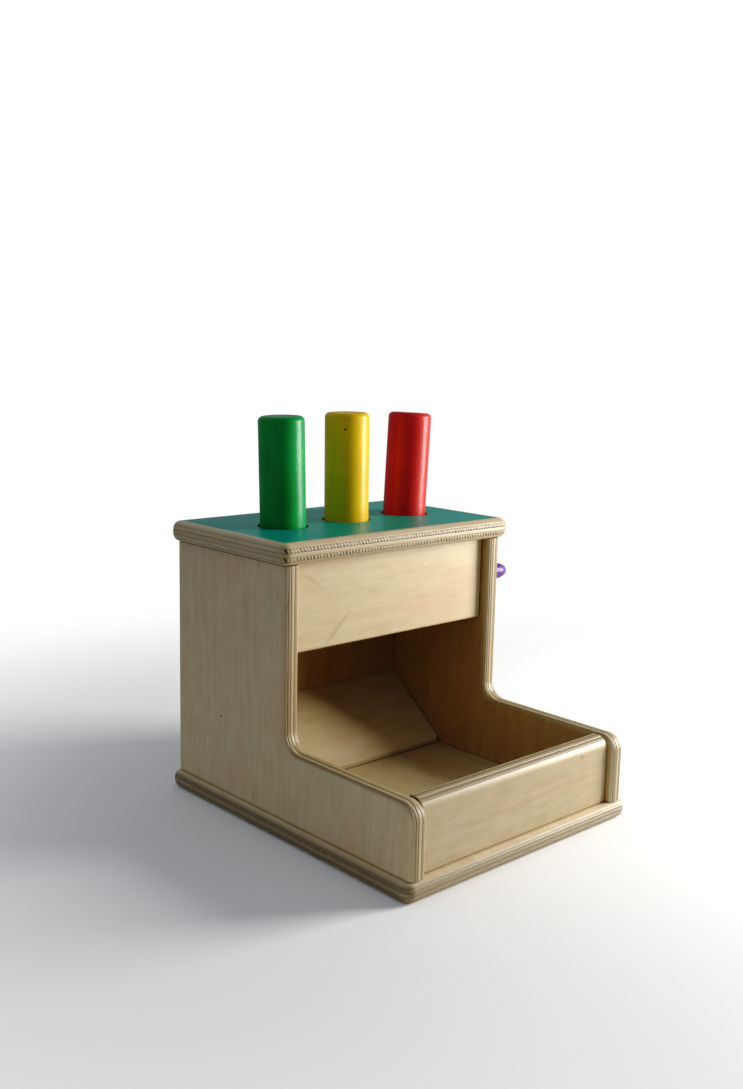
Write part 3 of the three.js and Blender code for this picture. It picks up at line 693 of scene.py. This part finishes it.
BROKEN = (SHARP_BREAK, 3)  # a square edge, only broken with sandpaper
GREY_STREAK = "#8d7552"
KNOT_SPECK = ((0.6, 0.6, 0.5), 0, "#4f3a20", 0.9)
MINERAL_BAND = "#b98d6a"
fascia_face = box_mm("fascia_board")[0].y
profile_board("fascia_sanded", "fascia_board", ((FASCIA_EDGE_R, 8), BROKEN, BROKEN, BROKEN), 6,
              edge_shade=0.1,
              marks=[((-35.5, fascia_face, 91.7), (13.0, 3.0, 1.8), -43.8, GREY_STREAK, 0.3),
                     ((-50.3, fascia_face, 115.2), (9.5, 3.0, 1.4), 36.0, GREY_STREAK, 0.22),
                     ((41.9, fascia_face, 96.8), (0.7, 0.7, 0.5), 0, "#6d5636", 0.8)])
tray_face = box_mm("tray_front_board")[0].y
profile_board("tray_front_sanded", "tray_front_board",
              (BROKEN, BROKEN, (TRAY_BOARD_BACK_R, 6), (TRAY_BOARD_FRONT_R, 24)), 8, tint="#e4e2df",
              marks=[((42.1, tray_face, 35.2), (1.9, 1.5, 0.9), 0, "#8a6136", 0.65),
                     ((37.8, tray_face, 42.4), *KNOT_SPECK),
                     ((46.9, tray_face, 40.4), *KNOT_SPECK),
                     ((-61.6, tray_face, 41.7), (0.7, 0.6, 0.6), *KNOT_SPECK[1:]),
                     ((8.0, tray_face, 23.5), (58.0, 4.0, 1.3), -2, MINERAL_BAND, 0.38),
                     ((20.0, tray_face, 28.5), (40.0, 4.0, 0.9), -1, MINERAL_BAND, 0.3)])

# %% [markdown]
# The ramp is the same kind of board laid on a slope: its foot is cut to lie flat on the floor
# and leaves a blunt lip. Its plies stack at right angles to the slope. Its two front corners
# are rounded in plan, which a Boolean with a tall plug does in one go.

# %% Ramp
RAMP_STEP = 2.0
PLUG_SPARE_Y = 20.0  # the plug leaves the ramp's back corners square
PLUG_SPARE_Z = 5.0
low, high = box_mm("ramp_board")
run, rise = high.y - low.y, high.z - low.z - RAMP_FOOT_LIP
plumb = RAMP_THICKNESS * math.hypot(1, rise / run)
top_back = Vector((high.y, high.z))
lip_top = Vector((low.y, low.z + RAMP_FOOT_LIP))
flat_end = Vector((low.y + (plumb - RAMP_FOOT_LIP) * run / rise, low.z))
profile = [Vector((low.y, low.z)), flat_end, Vector((high.y, high.z - plumb)), top_back, lip_top]
mesh = across_box("ramp_sanded", profile, low.x, high.x, RAMP_STEP)
slope_normal = Vector((0, -rise, run)).normalized()
ramp_start = Vector((0, *lip_top)).dot(slope_normal) - RAMP_THICKNESS
ramp_ply = plywood("sanded birch plywood, ramp", X, slope_normal, ramp_start, RAMP_THICKNESS, 11)
ramp = put("ramp_sanded", mesh, ramp_ply)
plug = round_rectangle((low.x, low.y), (high.x, high.y + PLUG_SPARE_Y), RAMP_CORNER_R)
plug_mesh = swept_board("plug", plug, [(0, low.z - PLUG_SPARE_Z), (0, high.z + PLUG_SPARE_Z)],
                        lambda u, v, w: (u, v, w))
carve(ramp, put("plug", plug_mesh), "INTERSECT")
finish_piece(ramp, BOX_BODY, "birch_plywood", "ramp_board")

# %% [markdown]
# ## Lid
# The lid is one size thicker. Teal satin paint was rolled on its flat top, and its rims were
# rounded bare afterwards, so the paint ends in a crisp line just inside the round. That line is
# real geometry here: the top face is inset and the inner face gets the paint.

# %% Teal satin paint
PAINT_TEAL = "#00998a"
PAINT_DEEP = "#008c7c"


def satin_paint(name):
    """Acrylic satin paint rolled on wood: even colour, faint roller stipple, soft gloss."""
    material, tree, source = new_finish(name)
    cloud = noise(tree, source["Object"], 28.0, 3.0)
    stipple = noise(tree, source["Object"], 900.0, 2.0)
    show(tree, "ShaderNodeBsdfPrincipled",
         {"IOR": 1.5, "Specular IOR Level": 0.4, "Base Color": blend(tree, cloud, PAINT_TEAL, PAINT_DEEP),
          "Roughness": maths(tree, "MULTIPLY_ADD", cloud, 0.10, 0.33),
          "Normal": bump(tree, stipple, 0.12, 0.05)})
    return material


# %% Lid
PAINT_INSET = 0.5  # mm between the start of the round and the paint
HOLE_RADIUS = 12.2
PEGS = ("green", "yellow", "red")
HOLE_PITCH = 39.9
HOLE_ROW_Y = 39.8
HOLE_ROW_SHIFT = 0.6
ROUND_STEPS = 96  # facets round a large circle, such as a peg and its hole
lid_thickness = lid_high.z - lid_low.z
plan = fine(round_rectangle(lid_low.xy, lid_high.xy, PLAN_CORNER_R), OUTLINE_STEP)
section = edge_section(lid_thickness, LID_EDGE_R)
section.append((LID_EDGE_R + PAINT_INSET, lid_thickness))
mesh = swept_board("lid_painted", plan, section, lambda u, v, w: (u, v, lid_low.z + w))
press_plies(mesh, Z, lid_low.z, lid_thickness)
lid_ply = plywood("sanded birch plywood, lid", X, Z, lid_low.z, lid_thickness, 14, 1.0, 0.1)
lid = put("lid_painted", mesh, lid_ply)
lid.data.materials.append(satin_paint("teal satin paint"))
lid.data.polygons[len(lid.data.polygons) - 1].material_index = 1
holes = []
for place in range(len(PEGS)):
    centre = (HOLE_ROW_SHIFT + (place - 1) * HOLE_PITCH, HOLE_ROW_Y, lid_low.z - BEYOND)
    wall = [(HOLE_RADIUS, 0), (HOLE_RADIUS, lid_thickness + 2 * BEYOND)]
    holes.append(turned_mesh("hole", wall, centre, Z, ROUND_STEPS))
drill(lid, holes)
finish_piece(lid, BOX_BODY, "painted_plywood", "top_board")

# %% [markdown]
# ## Flat boards kept from the frame
# The back panel, the guide board under the lid and the ramp's cleat are square-cut, so their
# CAD shapes are already right. They only need the plywood finish with their own bearings.

# %% Flat boards
for node, grain, stack, shift in (("back_panel", Z, (0, -1, 0), 17), ("peg_guide_board", X, Z, 19),
                                  ("ramp_cleat", X, Y, 21)):
    low, high = box_mm(node)
    axis = Vector(stack)
    start, end = sorted((low.dot(axis), high.dot(axis)))
    finish = plywood(f"sanded birch plywood, {node.replace('_', ' ')}", grain, stack,
                     start, end - start, shift, inner_painted_shade=INNER_PAINTED_SHADE)
    dress(nodes[node], finish)
    print(node, "dressed")

# %% [markdown]
# ## Turned pegs
# Each peg is a length of hardwood dowel with a round broken over both ends, sprayed with
# coloured lacquer. A solid of revolution is the natural way to model it. Its lean and its place
# come from the joint that it slides on.

# %% Peg lacquer
def peg_lacquer(name, colour, deep, marks=()):
    """Coloured lacquer on turned maple: glossy, slightly pebbled, the grain just showing."""
    material, tree, source = new_finish(name)
    grain = noise(tree, vector_maths(tree, "MULTIPLY", source["Object"], (900.0, 900.0, 30.0)), 1.0, 2.0)
    pebble = noise(tree, source["Object"], 1100.0, 2.0)
    cloud = noise(tree, source["Object"], 60.0, 2.0)
    tone = maths(tree, "MULTIPLY_ADD", grain, 0.6, cloud)
    mixed = blend(tree, ranged(tree, tone, 0.55, 1.1), colour, deep)
    relief = maths(tree, "MULTIPLY_ADD", grain, 0.5, pebble)
    show(tree, "ShaderNodeBsdfPrincipled",
         {"IOR": 1.5, "Specular IOR Level": 0.22, "Coat Weight": 0.25, "Coat Roughness": 0.12,
          "Base Color": with_marks(tree, source["Object"], mixed, marks),
          "Roughness": maths(tree, "MULTIPLY_ADD", cloud, 0.12, 0.46),
          "Normal": bump(tree, relief, 0.5, 0.10), "Coat Normal": bump(tree, relief, 0.9, 0.14)})
    return material


# %% Pegs
PEG_END_R = 2.4
END_STEPS = 8
SIDE_STEPS = 12
LACQUER = {"green": ("#009a4c", "#008a42"), "yellow": ("#e6bc0c", "#d8ae06"),
           "red": ("#ce302b", "#ba2620")}
SPECKS = {"yellow": [((-7.9, 31.6, 180.0), (0.8, 2.5, 0.8), 0, "#3a2c10", 0.85)]}
joint_axis = {joint["child"]: Vector(joint["axis"]) for joint in frame["joints"]}


def peg_profile(radius, length):
    """(radius, height) points of a peg: a round, the straight side, and the same round again."""
    turns = [math.pi / 2 * i / END_STEPS for i in range(END_STEPS + 1)]
    foot = [(radius - PEG_END_R * (1 - math.sin(a)), PEG_END_R * (1 - math.cos(a))) for a in turns]
    straight = length - 2 * PEG_END_R
    side = [(radius, PEG_END_R + straight * i / SIDE_STEPS) for i in range(1, SIDE_STEPS)]
    head = [(ring, length - rise) for ring, rise in reversed(foot)]
    return [(0, 0)] + foot + side + head + [(0, length)]


for colour in PEGS:
    name = f"{colour}_peg"
    low, high = box_mm(name)
    axis = joint_axis[name].normalized()
    radius = (high.y - low.y) / 2
    length = ((high.z - low.z) - 2 * radius * abs(axis.x)) / axis.z
    foot = (low + high) / 2 - axis * length / 2
    mesh = turned_mesh(f"{colour}_peg_lacquered", peg_profile(radius, length), foot, axis, ROUND_STEPS)
    coat = peg_lacquer(f"{colour} lacquer on maple", *LACQUER[colour], SPECKS.get(colour, ()))
    peg = put(f"{colour}_peg_lacquered", mesh, coat)
    finish_piece(peg, name, f"{colour}_lacquer", name)
    print(f"{colour} peg {length:.1f} mm long, leans {math.degrees(math.asin(axis.x)):.1f} degrees")

# %% [markdown]
# ## Side peg and grip rings
# The small purple peg on the right wall is turned too, with an egg-shaped end. The rubber rings
# that grip the pegs are out of sight under the lid, and stay as the frame has them.

# %% Side peg
SIDE_PEG_DOME = 7.5  # mm of its length that the rounded end takes
SIDE_PEG_CHAMFER = 0.4
SHANK_STEPS = 6
DOME_STEPS = 16
low, high = box_mm("side_peg")
radius, length = (high.z - low.z) / 2, high.x - low.x
dome_foot = length - SIDE_PEG_DOME
shank = dome_foot - SIDE_PEG_CHAMFER
profile = [(0, 0), (radius - SIDE_PEG_CHAMFER, 0), (radius, SIDE_PEG_CHAMFER)]
profile += [(radius, SIDE_PEG_CHAMFER + shank * i / SHANK_STEPS) for i in range(1, SHANK_STEPS + 1)]
for i in range(1, DOME_STEPS + 1):
    turn = math.pi / 2 * i / DOME_STEPS
    profile.append((radius * math.cos(turn), dome_foot + SIDE_PEG_DOME * math.sin(turn)))
middle = (low + high) / 2
mesh = turned_mesh("side_peg_lacquered", profile, (low.x, middle.y, middle.z), X, ROUND_STEPS // 2)
coat = peg_lacquer("purple lacquer on maple", "#63398c", "#502c75")
finish_piece(put("side_peg_lacquered", mesh, coat), BOX_BODY, "purple_lacquer", "side_peg")

# %% [markdown]
# Rubber and bare beech hardly show, so one short recipe with two close tones does for both.

# %% Plain stock and the rubber rings
def plain_stock(name, light, dark, stretch, roughness):
    """Two close tones stretched along a grain, for stock that hardly shows."""
    material, tree, source = new_finish(name)
    tone = noise(tree, vector_maths(tree, "MULTIPLY", source["Object"], stretch), 1.0, 3.0)
    show(tree, "ShaderNodeBsdfPrincipled",
         {"Roughness": roughness, "Base Color": blend(tree, tone, light, dark),
          "Normal": bump(tree, tone, 0.3, 0.05)})
    return material


rubber = plain_stock("moulded black rubber", "#2b2b2b", "#1d1d1d", (900.0, 900.0, 900.0), 0.8)
for colour in PEGS:
    dress(nodes[f"{colour}_grip_ring"], rubber)

# %% [markdown]
# ## Screws by Geometry Nodes
# Sixteen alike screws are a job for instances. The tree builds one countersunk screw: a turned
# core, a thread swept along a spiral, and a cross recess cut in the head. It stands a copy on
# each point it is given, makes the copies real and gives them their metal.

# %% Zinc-plated steel
def zinc_plate(name):
    """Yellow-passivated zinc on steel: a metal, its colour a little uneven."""
    material, tree, source = new_finish(name)
    tone = noise(tree, source["Object"], 400.0, 3.0)
    show(tree, "ShaderNodeBsdfPrincipled",
         {"Metallic": 1.0, "Base Color": blend(tree, tone, "#c9b070", "#a9935c"),
          "Roughness": maths(tree, "MULTIPLY_ADD", tone, 0.2, 0.25)})
    return material


SCREW_METAL = zinc_plate("yellow zinc-plated steel")
THREAD_DEPTH = 0.22
RECESS_SPAN = 4.4  # the cross recess: mm across, mm wide, mm tall
RECESS_WIDTH = 0.9
RECESS_HEIGHT = 3.2


# %% Screw tree
def screw_tree():
    """Geometry Nodes tree: points in, countersunk screws out. Lengths are in metres."""
    tree = bpy.data.node_groups.new("countersunk screws", "GeometryNodeTree")
    tree.interface.new_socket("Geometry", in_out="INPUT", socket_type="NodeSocketGeometry")
    for label, value in (("Length", 0.03), ("Head radius", 0.004), ("Shank radius", 0.002),
                         ("Head height", 0.0028), ("Thread pitch", 0.0018), ("Tilt", 0.0)):
        socket = tree.interface.new_socket(label, in_out="INPUT", socket_type="NodeSocketFloat")
        socket.default_value = value
    tree.interface.new_socket("Geometry", in_out="OUTPUT", socket_type="NodeSocketGeometry")
    given = add(tree, "NodeGroupInput").outputs
    core_radius = maths(tree, "SUBTRACT", given["Shank radius"], THREAD_DEPTH * MM)
    point_length = maths(tree, "MULTIPLY", given["Shank radius"], 2.0)
    shank_end = maths(tree, "SUBTRACT", given["Length"], point_length)
    shank_length = maths(tree, "SUBTRACT", shank_end, given["Head height"])

    # Head, shank and point are three cones stacked on the axis, overlapping by a hair.
    core = add(tree, "GeometryNodeMeshBoolean", {"operation": "UNION", "solver": "EXACT"})
    for bottom, top, depth, start in (
            (given["Head radius"], core_radius, given["Head height"], 0.0),
            (core_radius, core_radius, shank_length, given["Head height"]),
            (core_radius, 0.0, point_length, shank_end)):
        cone = add(tree, "GeometryNodeMeshCone",
                   {"Vertices": 32, "Radius Bottom": bottom, "Radius Top": top, "Depth": depth})
        place = add(tree, "ShaderNodeCombineXYZ", {2: start})
        moved = add(tree, "GeometryNodeTransform", {"Geometry": cone.outputs["Mesh"],
                                                    "Translation": place.outputs[0]})
        tree.links.new(moved.outputs[0], core.inputs["Mesh 2"])

    # The cross recess: two thin bars taken out of the head.
    recessed = add(tree, "GeometryNodeMeshBoolean", {"operation": "DIFFERENCE", "solver": "EXACT",
                                                     "Mesh 1": core.outputs["Mesh"]})
    for wide, deep in ((RECESS_SPAN, RECESS_WIDTH), (RECESS_WIDTH, RECESS_SPAN)):
        bar = add(tree, "GeometryNodeMeshCube", {"Size": (wide * MM, deep * MM, RECESS_HEIGHT * MM)})
        tree.links.new(bar.outputs["Mesh"], recessed.inputs["Mesh 2"])

    # The thread: a thin ridge swept along a spiral round the shank.
    spiral = add(tree, "GeometryNodeCurveSpiral",
                 {"Resolution": 24, "Rotations": maths(tree, "DIVIDE", shank_length, given["Thread pitch"]),
                  "Start Radius": core_radius, "End Radius": core_radius, "Height": shank_length})
    lifted = add(tree, "ShaderNodeCombineXYZ", {2: given["Head height"]})
    raised = add(tree, "GeometryNodeTransform", {"Geometry": spiral.outputs[0],
                                                 "Translation": lifted.outputs[0]})
    ridge = add(tree, "GeometryNodeCurvePrimitiveCircle", {"Resolution": 5, "Radius": THREAD_DEPTH * MM})
    thread = add(tree, "GeometryNodeCurveToMesh", {"Fill Caps": True, "Curve": raised.outputs[0],
                                                   "Profile Curve": ridge.outputs["Curve"]})
    screw = add(tree, "GeometryNodeJoinGeometry")
    for piece in (thread.outputs[0], recessed.outputs["Mesh"]):
        tree.links.new(piece, screw.inputs[0])

    turn = add(tree, "ShaderNodeCombineXYZ", {0: given["Tilt"]})
    copies = add(tree, "GeometryNodeInstanceOnPoints",
                 {"Points": given["Geometry"], "Instance": screw.outputs[0], "Rotation": turn.outputs[0]})
    real = add(tree, "GeometryNodeRealizeInstances", {0: copies.outputs[0]})
    dressed = add(tree, "GeometryNodeSetMaterial", {"Material": SCREW_METAL, "Geometry": real.outputs[0]})
    add(tree, "NodeGroupOutput", {0: dressed.outputs[0]})
    return tree


def set_input(modifier, label, value):
    """Sets a Geometry Nodes input by the socket's identifier."""
    socket = next(s for s in modifier.node_group.interface.items_tree
                  if s.in_out == "INPUT" and s.name == label)
    modifier[socket.identifier] = value


# %% Screws
SCREWS = screw_tree()


def drive_screws(name, replaced, axis, head_side, tilt):
    """One piece of screws along an axis, their heads on the low (0) or high (1) side of their boxes."""
    heads = []
    for node in replaced:
        head = middle_mm(node)
        head[axis] = box_mm(node)[head_side][axis]
        heads.append(head * MM)
    low, high = box_mm(replaced[0])
    mesh = bpy.data.meshes.new(name)
    mesh.from_pydata(heads, [], [])
    obj = put(name, mesh)
    driver = obj.modifiers.new("screws", "NODES")
    driver.node_group = SCREWS
    set_input(driver, "Length", (high - low)[axis] * MM)
    set_input(driver, "Tilt", tilt)
    bpy.context.view_layer.update()
    settle(obj)
    finish_piece(obj, BOX_BODY, "zinc_screw", *replaced)


drive_screws("base_screws", UNDER_SCREWS, 2, 0, 0.0)
drive_screws("guide_screws", GUIDE_SCREWS, 2, 0, 0.0)
drive_screws("cleat_screws", CLEAT_SCREWS, 1, 1, math.pi / 2)

# %% [markdown]
# ## Dowel pins
# Beech pins hold the lid and the fascia. They are glued out of sight, so the frame's own pins
# stay, with a plain beech finish whose grain runs along each pin.

# %% Dowels
beech_up = plain_stock("bare beech, upright grain", "#cfae7c", "#b8935f", (600.0, 600.0, 40.0), 0.6)
beech_across = plain_stock("bare beech, level grain", "#cfae7c", "#b8935f", (40.0, 600.0, 600.0), 0.6)
for name, obj in nodes.items():
    if "_dowel_" in name:
        dress(obj, beech_up if name.startswith("lid") else beech_across)

# %% [markdown]
# ## Stage: floor, light and camera
# A white sweep under a broad, low softbox from the front right, as from a window. The room's
# walls and ceiling glow a little and fill the shade. The floor fades out, so no horizon shows.

# %% Floor
FLOOR_RADIUS = 1.6
FLOOR_FADE = (0.12, 0.46)  # metres from the middle where the floor starts and ends fading


def floor_paper(name):
    """White seamless paper, matt, that fades into the background far from the object."""
    material, tree, source = new_finish(name)
    distance = vector_maths(tree, "LENGTH", source["Object"], output="Value")
    paper = add(tree, "ShaderNodeBsdfPrincipled", {"Base Color": linear("#f4f4f3"), "Roughness": 0.9,
                                                   "Specular IOR Level": 0.1})
    clear = add(tree, "ShaderNodeBsdfTransparent")
    show(tree, "ShaderNodeMixShader", {0: ranged(tree, distance, *FLOOR_FADE, smooth=True),
                                       1: paper.outputs[0], 2: clear.outputs[0]})
    return material


bm = bmesh.new()
bmesh.ops.create_circle(bm, cap_ends=True, segments=ROUND_STEPS, radius=FLOOR_RADIUS)
floor_mesh = bpy.data.meshes.new("paper_floor")
bm.to_mesh(floor_mesh)
bm.free()
floor = put("paper_floor", floor_mesh, floor_paper("white seamless paper"))

# %% Sky and softbox
AIM = Vector((0.0, 0.0, 0.075))
BACK_GLOW = 0.36
LEFT_GLOW = 0.34
TOP_GLOW = 0.34
FRONT_GLOW = 0.16

world = bpy.data.worlds.new("studio walls")
bpy.context.scene.world = world
world.use_nodes = True
sky = world.node_tree
sky.nodes.clear()
direction = add(sky, "ShaderNodeTexCoord").outputs["Generated"]


def glow(towards, start, strength):
    """A part of the studio that is bright: a wall or the ceiling, fading towards its rim."""
    facing = vector_maths(sky, "DOT_PRODUCT", direction, Vector(towards).normalized(), output="Value")
    return ranged(sky, facing, start, 1.0, strength, smooth=True)


def room_light(colour, strength):
    """Light of one colour from all round the room."""
    return add(sky, "ShaderNodeBackground", {"Color": linear(colour), "Strength": strength}).outputs[0]


warm = maths(sky, "ADD", glow((0.6, 1.0, 0.2), 0.0, BACK_GLOW), glow(Z, 0.3, TOP_GLOW))
ahead = maths(sky, "ADD", warm, glow((-0.45, -1.0, 0.1), 0.2, FRONT_GLOW))
shady = glow((-1.0, 0.25, 0.2), 0.2, LEFT_GLOW)
light = add(sky, "ShaderNodeAddShader", {0: room_light("#f6f9ff", ahead), 1: room_light("#dbe8ff", shady)})
path = add(sky, "ShaderNodeLightPath")
mix = add(sky, "ShaderNodeMixShader", {0: path.outputs["Is Camera Ray"], 1: light.outputs[0],
                                       2: room_light("#ffffff", 1.0)})
add(sky, "ShaderNodeOutputWorld", {"Surface": mix.outputs[0]})


def direction_of(bearing, height):
    """The way to a light or a camera: degrees round from the front, degrees up."""
    bearing, height = math.radians(bearing), math.radians(height)
    return Vector((math.sin(bearing) * math.cos(height), -math.cos(bearing) * math.cos(height),
                   math.sin(height)))


def softbox(name, bearing, height, distance, size, watts):
    """A rectangular light that faces the object."""
    lamp = bpy.data.lights.new(name, "AREA")
    lamp.shape = "RECTANGLE"
    lamp.size, lamp.size_y = size
    lamp.energy = watts
    lamp.color = linear("#fffdf9")[:3]
    obj = put(name, lamp)
    away = direction_of(bearing, height)
    obj.location = AIM + away * distance
    obj.rotation_euler = away.to_track_quat("Z", "Y").to_euler()


softbox("window softbox", 60, 14, 0.60, (0.24, 0.36), 6.5)

# %% [markdown]
# The camera stands low at the left front corner, tilted a little, as a hand-held one would be.
# Its lens and distance set how fast the box narrows upwards.

# %% Camera
CAMERA_BEARING = -42.58  # degrees
CAMERA_HEIGHT = 9.57
CAMERA_ROLL = 1.26
CAMERA_DISTANCE = 0.5687
CAMERA_AIM = Vector((0.00218, 0.02253, 0.12415))
LENS = 38.35  # mm, on a 36 mm sensor along the picture's long side
back = direction_of(CAMERA_BEARING, CAMERA_HEIGHT)
camera = put("camera", bpy.data.cameras.new("camera"))
camera.data.lens = LENS
camera.data.sensor_width = 36.0
camera.data.clip_start = 0.01
turn = back.to_track_quat("Z", "Y").to_matrix() @ Matrix.Rotation(math.radians(CAMERA_ROLL), 3, "Z")
camera.matrix_world = Matrix.Translation(CAMERA_AIM + back * CAMERA_DISTANCE) @ turn.to_4x4()
bpy.context.scene.camera = camera

# A camera's contrast curve: deep shade falls towards black, the rest is left as it is.
CONTRAST = ((0.04, 0.016), (0.10, 0.074), (0.20, 0.19), (0.50, 0.50))
view = bpy.context.scene.view_settings
view.view_transform = "Standard"
view.use_curve_mapping = True
curve = view.curve_mapping.curves[3]
for tone_in, tone_out in CONTRAST:
    curve.points.new(tone_in, tone_out)
view.curve_mapping.update()
print("contrast curve:", len(curve.points), "points")

# %% The end
bpy.context.view_layer.update()
